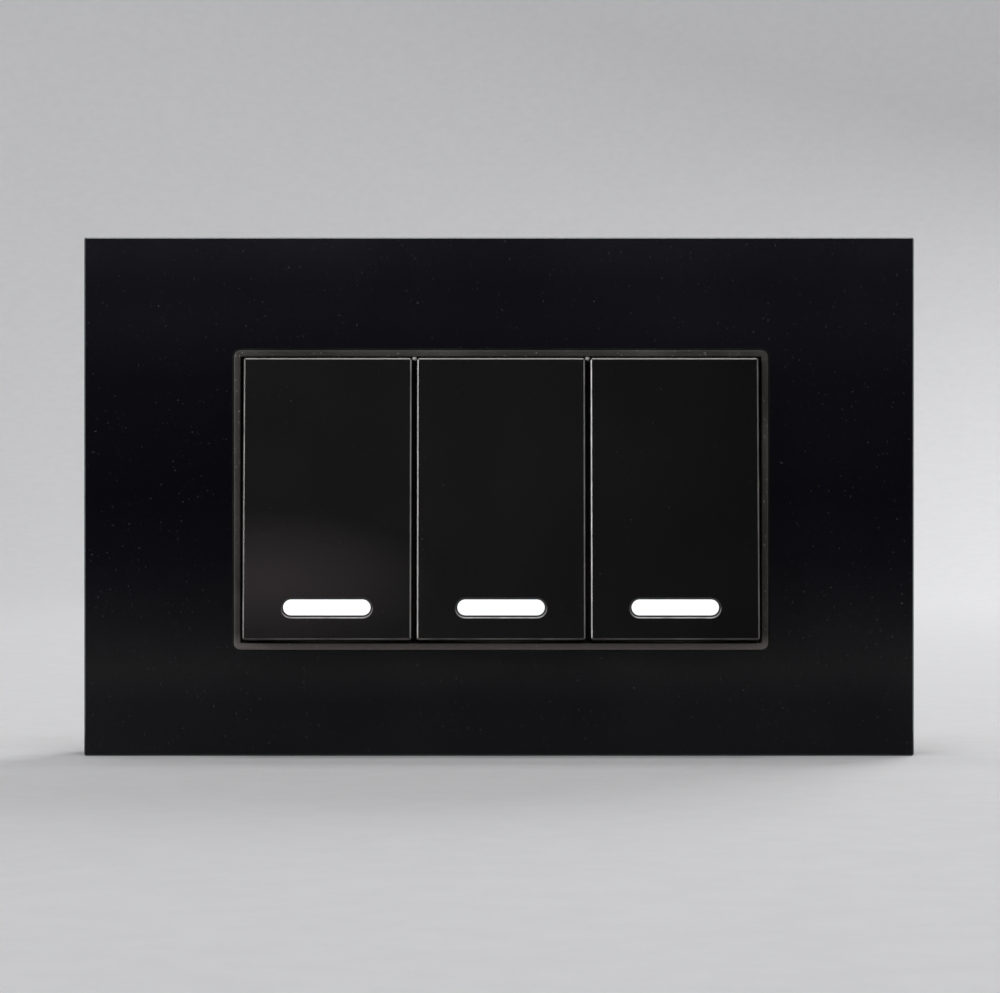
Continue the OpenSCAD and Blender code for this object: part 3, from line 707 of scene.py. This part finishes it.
def surround():
    """The bezel: a slim wall with a rounded lip over a flange, and two domed nibs at the top."""
    box = Box("opening_bezel")
    inside = box.level(box.z0)
    half_w = min(abs(p.x) for p in inside)
    half_h = min(abs(p.y) for p in inside)
    out_w, out_h, out_r = box.w - 2 * FLANGE_REACH, box.h - 2 * FLANGE_REACH, 1.0
    flange_t = 1.0
    lip = 0.3
    inner_lip = 0.16

    def outer(inset, z):
        return rounded_loop(out_w - 2 * inset, out_h - 2 * inset, out_r - inset, z)

    def flange(inset, z):
        return rounded_loop(box.w - 2 * inset, box.h - 2 * inset, 1.5 - inset, z)

    def inner(inset, z):
        return rounded_loop(2 * (half_w + inset), 2 * (half_h + inset), 0.12 + inset, z)

    loops = [flange(0.1, box.z0), flange(0, box.z0 + 0.1), flange(0, box.z0 + flange_t - 0.15)]
    loops += [flange(0.15, box.z0 + flange_t), outer(-0.2, box.z0 + flange_t)]
    loops += [outer(0, box.z0 + flange_t + 0.2), outer(0, box.z1 - lip)]
    loops += [outer(lip - a, box.z1 - lip + b) for a, b in arc(0, 0, lip, 15, 90, 5)]
    loops += [
        inner(a, box.z1 - inner_lip + b) for a, b in arc(inner_lip, 0, inner_lip, 90, 180, 4)
    ]
    loops += [inner(0, box.z0 + 0.1), inner(0.1, box.z0)]
    builder = Builder()
    builder.loft(loops, wrap=True)
    nibs = [
        p for p in box.points
        if abs(p.y) < half_h - 0.1 and p.z > box.z0 + flange_t and abs(p.x) < half_w - 1
    ]
    nib_x = sum(abs(p.x) for p in nibs) / len(nibs)
    nib_end = min(abs(p.y) for p in nibs)
    nib_top = max(p.z for p in nibs)
    nib_low = min(p.z for p in nibs)
    width, height = 0.62, half_h - nib_end + 0.1
    dome = 0.24
    shape = [(width, height, nib_low), (width, height, nib_top - dome)]
    shape += [
        (width * w, height * w, nib_top - dome + dome * rise)
        for w, rise in arc(0, 0, 1, 15, 80, 5)
    ]
    # the nibs take the pale finish, a painted highlight
    builder.finish = 1
    for side in (-1, 1):
        builder.loft([
            rounded_loop(w, h, w / 2, z, side * nib_x, nib_end + height / 2, steps=5)
            for w, h, z in shape
        ])
    made = builder.build("surround_bezel", crease=40)
    settle(made, "cover", ["opening_bezel"], "bezel_plastic", *BEZEL)


glass_plate()
surround()
soften("adhesive_tape", 0.08, FOAM, segments=1)
soften("cover_frame", 0.12, FRAME)

# ---------------------------------------------------------------- the mounting frame


def box_screws():
    """Two pan-headed screws with a cross recess and a real thread."""
    box = Box("box_screws")
    pitch = 0.6
    head_r = box.h / 2
    spacing = box.x1 - head_r
    seat = min(p.z for p in box.points if math.hypot(abs(p.x) - spacing, p.y) > 0.8 * head_r)
    shank_r = max(math.hypot(p.x - spacing, p.y) for p in box.level(box.z0) if p.x > 0)
    top = box.z1
    profile = [(head_r - 0.35, seat), (head_r - 0.08, seat + 0.05), (head_r, seat + 0.3)]
    profile += [(head_r - 0.1, seat + 0.75), (head_r - 0.45, top - 0.32)]
    profile += [(head_r - 1.0, top - 0.14), (head_r - 1.8, top - 0.03), (0, top)]
    for side, label in ((-1, "left"), (1, "right")):
        builder = Builder()
        turned(builder, profile, side * spacing, 0, 48)
        made = builder.build(f"box_screw_head_{label}")
        cutters = []
        for w, h in ((4.4, 1.05), (1.05, 4.4)):
            cutter = Builder()
            cutter.loft([
                rounded_loop(w * narrowing, h * narrowing, 0.12, z, side * spacing, 0, steps=2)
                for narrowing, z in ((0.55, top - 1.0), (1, top + 0.4))
            ])
            cutters.append(cutter.build("recess"))
        cut(made, cutters)
        settle(made, "support", ["box_screws"], "zinc_steel", ZINC)
        shank = Builder()
        thread(shank, box.z0 + 1.2, 0.05, shank_r - 0.01, shank_r - 0.32, pitch,
               side * spacing, box.z0 + 0.05)
        neck_r = shank_r - 0.16
        turned(shank, [(shank_r - 0.35, -1.2), (neck_r, -0.6), (neck_r, seat + 0.1)],
               side * spacing, 0)
        made = shank.build(f"box_screw_shank_{label}", crease=50)
        settle(made, "support", ["box_screws"], "zinc_steel", ZINC, ZINC_ROOT)


def clips():
    """Four bent spring clips, one beside each prong, each staked on a stud."""
    box = Box("retaining_clips")
    prong_y = (max(p.y for p in box.points) + min(p.y for p in box.points if p.y > 0)) / 2
    half_base = max(p.y for p in box.points) - prong_y
    back_end = min(abs(p.x) for p in box.points)
    leaf_end = box.x1
    half_w = half_base - 0.15
    sheet, base_z = 0.42, -0.25
    hole_x, hole_r = back_end + 1.6, 0.86
    corners = [
        (back_end + 0.02, 0, base_z), (leaf_end - 1.4, 0, base_z), (leaf_end - 0.16, 0, -1.28),
    ]
    path = [(p.x, p.z) for p in bent(corners, 0.5)]
    for sx in (-1, 1):
        for sy in (-1, 1):
            builder = Builder()
            strip(builder, path, sheet, prong_y - half_w, prong_y + half_w)
            place = PANEL @ Matrix.Diagonal((sx, sy, 1, 1))
            label = f"{'right' if sx > 0 else 'left'}_{'top' if sy > 0 else 'bottom'}"
            made = builder.build(f"retaining_clip_{label}", place, crease=35)
            cutter = Builder()
            turned(cutter, [(hole_r, -1.5), (hole_r, 1.0)], hole_x, prong_y, 24)
            tool = cutter.build("stud hole", place)
            if sx * sy < 0:  # a mirrored piece is inside out
                made.data.flip_normals()
                tool.data.flip_normals()
            cut(made, [tool])
            settle(made, "support", ["retaining_clips"], "spring_steel", SPRING)


box_screws()
clips()
soften("mounting_frame", 0.15, CARRIER)

# ---------------------------------------------------------------- the switches, fixed pieces


def slotted_screw(n, end, sy):
    """A terminal screw seen from behind, with a turned head, a driver slot and a thread."""
    box = Box(f"terminal_screws_{n}")
    x = box.cx
    head_r, head_t = box.w / 2, 2.0
    crest, root, pitch = 1.48, 1.2, 0.5
    y = sy * (box.y1 - head_r)
    head_z = box.z0
    front = box.z1
    seat = head_z + head_t
    profile = [(0, head_z), (head_r - 0.5, head_z), (head_r - 0.14, head_z + 0.12)]
    profile += [(head_r, head_z + 0.4), (head_r, seat - 0.15), (head_r - 0.15, seat), (0, seat)]
    builder = Builder()
    turned(builder, profile, x, y, 40)
    made = builder.build(f"terminal_screw_{end}_{n}_head")
    cutter = Builder()
    cutter.loft([
        rounded_loop(2 * head_r + 1, w, 0.05, z, x, y, steps=2)
        for w, z in ((0.95, head_z - 0.5), (0.8, head_z), (0.72, head_z + 0.95))
    ])
    cut(made, [cutter.build("driver slot")])
    settle(made, "support", [f"terminal_screws_{n}"], "zinc_steel", ZINC)
    shank = Builder()
    thread(shank, seat - 0.3, front - 0.45, crest, root, pitch, 0, seat - 0.6, sides=24)
    tip = [(root, front - 0.9), (root, front - 0.3), (root - 0.25, front - 0.05), (0, front - 0.02)]
    turned(shank, tip, sides=24)
    place = PANEL @ Matrix.Translation((x, y, 0))
    made = shank.build(f"terminal_screw_{end}_{n}_shank", place, crease=50)
    settle(made, "support", [f"terminal_screws_{n}"], "zinc_steel", ZINC, ZINC_ROOT)


def lamp(n):
    """A small domed lamp on a flange, with two pins soldered behind its board."""
    box = Box(f"lamp_{n}")
    flange_r = box.w / 2
    base = min(p.z for p in box.points if math.hypot(p.x - box.cx, p.y - box.cy) > flange_r - 0.1)
    dome_r = 1.5
    dome_z = box.z1 - dome_r
    profile = [(0, base), (flange_r - 0.05, base), (flange_r, base + 0.06), (flange_r, base + 0.28)]
    profile += [(flange_r - 0.08, base + 0.35), (dome_r + 0.05, base + 0.35), (dome_r, base + 0.45)]
    profile += arc(0, dome_z, dome_r, 0, 90, 8)
    builder = Builder()
    turned(builder, profile, box.cx, box.cy, 36)
    pins = [p.x - box.cx for p in box.level(box.z0)]
    pin_x = (max(pins) + min(q for q in pins if q > 0)) / 2
    settle(builder.build(f"locator_lamp_{n}"), "support", [f"lamp_{n}"], "lamp_glass", LAMP)
    builder = Builder()
    pin = [(0.2, box.z0 + 0.03), (0.25, box.z0 + 0.1), (0.25, base + 0.02)]
    fillet = [(r, box.z0 + z) for r, z in ((0.26, 0.12), (0.42, 0.34), (0.62, 0.47), (0.3, 0.52))]
    for x in (box.cx - pin_x, box.cx + pin_x):
        turned(builder, pin, x, box.cy, 16)
        turned(builder, fillet, x, box.cy, 20)
    settle(builder.build(f"lamp_pins_{n}"), "support", [f"lamp_{n}"], "zinc_steel", SOLDER)


def resistor(n):
    """A dumbbell-bodied resistor with four colour bands and bent leads."""
    box = Box(f"resistor_{n}")
    body_r = box.h / 2
    axis_z = box.z0 + body_r
    wire_r = 0.25
    half = 3.0
    waist = body_r - 0.22
    outline = [(-half, wire_r), (-half + 0.15, body_r - 0.25), (-half + 0.5, body_r)]
    outline += [(-half + 0.95, body_r), (-half + 1.3, waist)]
    outline += [(-x, r) for x, r in outline[::-1]]

    def radius_at(x):
        for (xa, ra), (xb, rb) in zip(outline, outline[1:]):
            if xa <= x <= xb:
                return ra + (rb - ra) * (x - xa) / (xb - xa)
        return wire_r

    def band_at(x):
        return next((k for k, mark in enumerate(marks, 1) if abs(x - mark) < half_band), 0)

    marks = (-2.35, -1.1, 0.0, 2.35)
    half_band = 0.24
    stops = sorted([x for x, _ in outline] + [x + s * half_band for x in marks for s in (-1, 1)])
    loops = [
        ring_about(Vector((box.cx + x, box.cy, axis_z)), RIGHT, UP, radius_at(x), 28) for x in stops
    ]
    builder = Builder()
    builder.loft(loops, finishes=[band_at((a + b) / 2) for a, b in zip(stops, stops[1:])])
    made = builder.build(f"resistor_body_{n}", crease=50)
    settle(made, "support", [f"resistor_{n}"], "resistor_body", RESISTOR, *BANDS)
    reach = box.w / 2 - wire_r
    builder = Builder()
    for side in (-1, 1):
        start_x, end_x = box.cx + side * (half - 0.1), box.cx + side * reach
        path = [(start_x, box.cy, axis_z), (end_x, box.cy, axis_z), (end_x, box.cy, box.z1 - 0.02)]
        tube(builder, bent(path, 0.6), wire_r - 0.01, 10)
    made = builder.build(f"resistor_wires_{n}", crease=60)
    settle(made, "support", [f"resistor_{n}"], "zinc_steel", SOLDER)


def leads(n):
    """Two insulated leads, each in smooth bends, soldered at both ends."""
    box = Box(f"lamp_leads_{n}")
    r = 0.5
    x = box.w / 2 - r
    low_points = [p for p in box.points if p.x < box.cx]
    lead_y = (min(p.y for p in low_points) + max(p.y for p in low_points)) / 2
    far_y = box.y1 - r
    side_z = box.z0 + r
    pillar = Box(f"load_terminal_{n}").w / 2
    run_z = -6.0
    builder = Builder()
    left = [(-x, lead_y, box.z1), (-x, lead_y, side_z), (-pillar, lead_y, side_z)]
    right = [(x, lead_y, box.z1), (x, lead_y, run_z), (x, far_y, run_z), (x, far_y, side_z),
             (pillar, far_y, side_z)]
    for path in (left, right):
        shifted = [(px + box.cx, py, pz) for px, py, pz in path]
        tube(builder, bent(shifted, 1.6), r - 0.02, 14)
    made = builder.build(f"leads_{n}", crease=60)
    settle(made, "support", [f"lamp_leads_{n}"], "lead_insulation", LEAD)
    joints = Builder()
    for sx, y in ((-1, lead_y), (1, far_y)):
        tip = Vector((box.cx + sx * pillar, y, side_z))
        joints.loft([
            ring_about(tip + sx * d * RIGHT, RIGHT, UP, s, 18)
            for d, s in ((0.01, 0.85), (0.12, 0.8), (0.3, 0.62), (0.5, 0.5), (0.6, 0.45))
        ])
    made = joints.build(f"lead_joints_{n}", crease=60)
    settle(made, "support", [f"lamp_leads_{n}"], "zinc_steel", SOLDER)


FIXED = (
    ("housing", 0.14, HOUSING), ("module_cover", 0.12, COVER), ("fixed_contact", 0.1, SILVER),
    ("common_terminal", 0.08, BRASS), ("load_terminal", 0.08, BRASS),
)
for n in SWITCHES:
    slotted_screw(n, "load", 1)
    slotted_screw(n, "common", -1)
    lamp(n)
    resistor(n)
    leads(n)
    soften(f"lamp_board_{n}", 0.05, BOARD, segments=1)
    for node, width, finish in FIXED:
        soften(f"{node}_{n}", width, finish)

# ---------------------------------------------------------------- the switches, moving pieces

CAP_WALL = 1.2
WINDOW_DEPTH = 0.3  # this near the cap's face, only the lens's lit end is left


def window_size(n):
    """Width, height and middle height of the lens's lit end, in the rocker's axes."""
    face = Box(f"rocker_cap_{n}", ROCKER[n]).z1
    lens = Box(f"indicator_lens_{n}", ROCKER[n])
    lit = [p for p in lens.points if p.z > face - WINDOW_DEPTH]
    high, low = max(p.y for p in lit), min(p.y for p in lit)
    return 2 * max(p.x for p in lit), high - low, (high + low) / 2


def cap(n):
    """A rocker's cap: a gloss face with narrow bevels, a window with a soft lip and two catches."""
    axes = ROCKER[n]
    box = Box(f"rocker_cap_{n}", axes)
    window_w, window_h, window_y = window_size(n)
    play = 0.1
    face = box.z1
    bevel, drop = 0.19, 0.135
    soft = 0.03
    lip = 0.16
    ceiling = face - CAP_WALL
    gloss, edge, inside, flank, painted_lip_glint = range(5)

    def outer(inset, z):
        r = max(0.3 - inset, 0.03)
        return rounded_loop(box.w - 2 * inset, box.h - 2 * inset, r, z, steps=5)

    def inner(z, inset=0.0):
        w, h = box.w - 2 * CAP_WALL + inset, box.h - 2 * CAP_WALL + inset
        return rounded_loop(w, h, 0.4, z, steps=5)

    def slot(inset, z):
        w, h = window_w + play + 2 * inset, window_h + play + 2 * inset
        return rounded_loop(w, h, h / 2, z, 0, window_y - inset / 4, steps=5)

    # the lip's bands take the slot lip finish, with its painted highlight below and painted shade
    # above
    bands = [(slot(0, ceiling), inside), (slot(0, face - lip), painted_lip_glint)]
    bands += [(slot(lip - a, face - lip + b), painted_lip_glint) for a, b in arc(0, 0, lip, 20, 70, 3)]
    bands += [(slot(lip, face), gloss)]
    # the bevels take the paler edge finish, a painted highlight, and the sides the flank finish,
    # painted light for the gaps
    bands += [(outer(bevel + soft, face), edge), (outer(bevel, face - 0.012), edge)]
    bands += [(outer(0.03, face - drop), edge), (outer(0, face - drop - soft), flank)]
    bands += [(outer(0, box.z0 + 0.15), flank), (outer(0.15, box.z0), inside)]
    bands += [(inner(box.z0, 0.2), inside), (inner(box.z0 + 0.2), inside), (inner(ceiling), inside)]
    builder = Builder()
    builder.loft([loop for loop, _ in bands], wrap=True, finishes=[finish for _, finish in bands])
    builder.finish = inside
    lever = Box(f"rocker_lever_{n}", axes)
    catch_y = max(p.y for p in lever.level(ceiling)) + 0.3
    under = ceiling - 2.2
    for side in (-1, 1):
        hook = [(catch_y + 1, ceiling + 0.1), (catch_y, ceiling + 0.1), (catch_y, under - 0.1)]
        hook += [
            (catch_y - 0.9, under - 0.35), (catch_y - 0.75, under - 0.9), (catch_y, under - 1.35),
            (catch_y + 0.85, under - 1.35), (catch_y + 1, under - 1.2),
        ]
        builder.loft([[(x, side * y, z) for y, z in hook] for x in (-5, 5)])
    made = builder.build(f"switch_cap_{n}", axes, crease=24)
    settle(made, f"rocker_{n}", [f"rocker_cap_{n}"], "rocker_plastic", *ROCKER_PLASTIC)


def window_lens(n):
    """The white light guide, high in its slot, with a rounded and slightly crowned face."""
    axes = ROCKER[n]
    box = Box(f"indicator_lens_{n}", axes)
    face = Box(f"rocker_cap_{n}", axes).z1
    window_w, window_h, y = window_size(n)
    w, h = window_w - 0.32, window_h - 0.3
    rise = 0.04
    ceiling = face - CAP_WALL
    top = face - 0.08

    def stadium(inset, z):
        return rounded_loop(w - 2 * inset, h - 2 * inset, h / 2 - inset, z, 0, y + rise, steps=8)

    def block(bw, bh, r, z):
        return rounded_loop(bw, bh, r, z, 0, y, steps=8)

    guide_w, guide_h = box.w - 5.0, box.h - 1.3
    # the foot takes the grey finish, painted shade on the white guide
    lit, foot = 0, 1
    under = ceiling - 0.8
    crown, crown_at = 0.04, 0.16
    loops = [block(guide_w - 0.2, guide_h - 0.2, 0.3, box.z0)]
    loops += [block(guide_w, guide_h, 0.4, z) for z in (box.z0 + 0.1, under)]
    loops += [block(box.w - 0.1, box.h - 0.1, 0.4, under)]
    loops += [block(box.w, box.h, 0.4, under + 0.05), block(box.w, box.h, 0.4, ceiling - 0.02)]
    loops += [stadium(0, ceiling - 0.02)]
    feet = len(loops)
    loops += [stadium(0, top - 0.4), stadium(0, top - 0.2)]
    loops += [stadium(crown_at - a, top - 0.2 + b) for a, b in arc(0, 0, crown_at, 18, 90, 4)]
    dome = ((0.2, 0.5), (0.5, 0.15), (0.9, 0))
    loops += [stadium(crown_at + d, top - crown * s) for d, s in dome]
    builder = Builder()
    builder.loft(loops, finishes=[foot] * feet + [lit] * (len(loops) - 1 - feet))
    made = builder.build(f"window_lens_{n}", axes, crease=40)
    settle(made, f"rocker_{n}", [f"indicator_lens_{n}"], "lens_white", *LENS)


def spring(n):
    """A compression spring with closed end coils, between the lever's bore and the plunger."""
    axes = ROCKER[n]
    box = Box(f"plunger_spring_{n}", axes)
    wire = 0.175
    r = box.w / 2 - wire
    z0, z1 = box.z0 + wire, box.z1 - wire
    turns = 6
    per_turn = 24
    dead = 2.1 * wire  # the rise of the closed turn at each end

    def height(t):
        if t < 1:
            return z0 + dead * t
        if t > turns - 1:
            return z1 - dead * (turns - t)
        return z0 + dead + (z1 - z0 - 2 * dead) * (t - 1) / (turns - 2)

    path = []
    for i in range(turns * per_turn + 1):
        t = i / per_turn
        a = 2 * math.pi * t
        path.append((r * math.cos(a), r * math.sin(a), height(t)))
    builder = Builder()
    tube(builder, path, wire, 8)
    made = builder.build(f"plunger_coil_{n}", axes, crease=60)
    made.data.materials.append(SPRING)
    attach(made, f"rocker_{n}")
    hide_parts(f"plunger_spring_{n}")
    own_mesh(made)


MOVING = (
    ("rocker_lever", 0.1, LEVER), ("plunger", 0.06, BRASS), ("contact_arm", 0.06, COPPER),
    ("moving_contact", 0.08, SILVER),
)
for n in SWITCHES:
    cap(n)
    window_lens(n)
    spring(n)
    for node, width, finish in MOVING:
        soften(f"{node}_{n}", width, finish)

# ---------------------------------------------------------------- floor, light and camera


def sweep(name, profile, start):
    """Half of a round floor and wall, from (radius, height) pairs, from an angle in degrees."""
    builder = Builder()
    steps = 48
    angles = [math.radians(start + 180 * i / steps) for i in range(steps + 1)]
    rows = [
        [builder.bm.verts.new((r * math.cos(a), r * math.sin(a), z)) for a in angles]
        for r, z in profile
    ]
    for row, other in zip(rows, rows[1:]):
        for i in range(steps):
            builder.face((row[i], row[i + 1], other[i + 1], other[i]))
    made = builder.build(name, Matrix.Identity(4), crease=60)
    made.data.materials.append(PAPER)
    return made


def spare(light, stage):
    """Keeps a light that stands close to the floor from burning it out."""
    spared = bpy.data.collections.new(f"spared by {light.name}")
    for made in stage:
        spared.objects.link(made)
    light.light_linking.receiver_collection = spared
    for item in spared.collection_objects:
        item.light_linking.link_state = "EXCLUDE"


def studio():
    """A pale floor that sweeps up into a round backdrop, far behind any camera position.

    The half behind the wall plane shows in reflections. The half in front of it, which the glass
    would mirror, doesn't.
    """
    floor_z = cad_low.z
    flat = 0.7
    curve = 0.8
    height = 1.7
    profile = [(0.0, floor_z), (0.3, floor_z)]
    profile += [(flat + x, floor_z + curve + z) for x, z in arc(0, 0, curve, -90, 0, 16)]
    profile += [(flat + curve, floor_z + height)]
    rear = sweep("studio_rear", profile, 0)
    front = sweep("studio_front", profile, 180)
    front.visible_glossy = False
    return rear, front


def softbox(name, place, target, width, height, radiance, spread=180):
    """A soft light that faces the target. Its power follows from its face's radiance."""
    data = bpy.data.lights.new(name, "AREA")
    data.shape = "RECTANGLE"
    data.size = width
    data.size_y = height
    data.energy = radiance * math.pi * width * height
    data.spread = math.radians(spread)
    made = bpy.data.objects.new(name, data)
    bpy.context.scene.collection.objects.link(made)
    made.location = place
    made.rotation_euler = (Vector(target) - Vector(place)).to_track_quat("-Z", "Y").to_euler()
    made.visible_camera = False
    return made


def lights(stage):
    """Soft light from above, faint light from the sides, and washes over the backdrop."""
    centre = (0, 0, 0)
    softbox("overhead_strip", (0, -0.005, 0.85), centre, 0.3, 0.1, 9)
    softbox("overhead_softbox", (0, -0.215, 0.85), centre, 0.3, 0.27, 5)
    for name, x, radiance in (("left_softbox", -0.85, 4.2), ("right_card", 0.85, 1)):
        side = softbox(name, (x, -0.36, 0.2), (0, 0, 0.05), 0.3, 0.4, radiance, spread=100)
        spare(side, stage)
    softbox("rear_softbox", (0.5, 0.8, 0.6), centre, 0.5, 0.5, 5)
    softbox("backdrop_light", (0, 0.3, 1.3), (0, 1.5, 0.35), 1.6, 0.4, 3.2)
    softbox("front_backdrop_light", (0, -0.5, 1.3), (0, -1.5, 0.35), 1.6, 0.4, 2.4)
    world = bpy.data.worlds.new("studio")
    world.use_nodes = True
    shade = world.node_tree.nodes["Background"]
    shade.inputs["Color"].default_value = (1, 1, 1, 1)
    shade.inputs["Strength"].default_value = 0.06
    bpy.context.scene.world = world


def camera():
    """Straight on, level with the middle of the plate, where the photograph was taken from."""
    plate = Box("glass_panel")
    image_width_mm = 144.58
    distance_mm = 450.0
    aside_mm = 0.145
    data = bpy.data.cameras.new("camera")
    data.sensor_fit = "HORIZONTAL"
    data.sensor_width = 36.0
    data.lens = data.sensor_width * distance_mm / image_width_mm
    data.clip_start = 0.01
    data.clip_end = 20
    made = bpy.data.objects.new("camera", data)
    bpy.context.scene.collection.objects.link(made)
    made.location = PANEL @ Vector((plate.cx + aside_mm, plate.cy, plate.z1 + distance_mm))
    made.rotation_euler = (math.radians(90), 0, 0)
    bpy.context.scene.camera = made


lights(studio())
camera()
bpy.context.scene.view_settings.view_transform = "Standard"
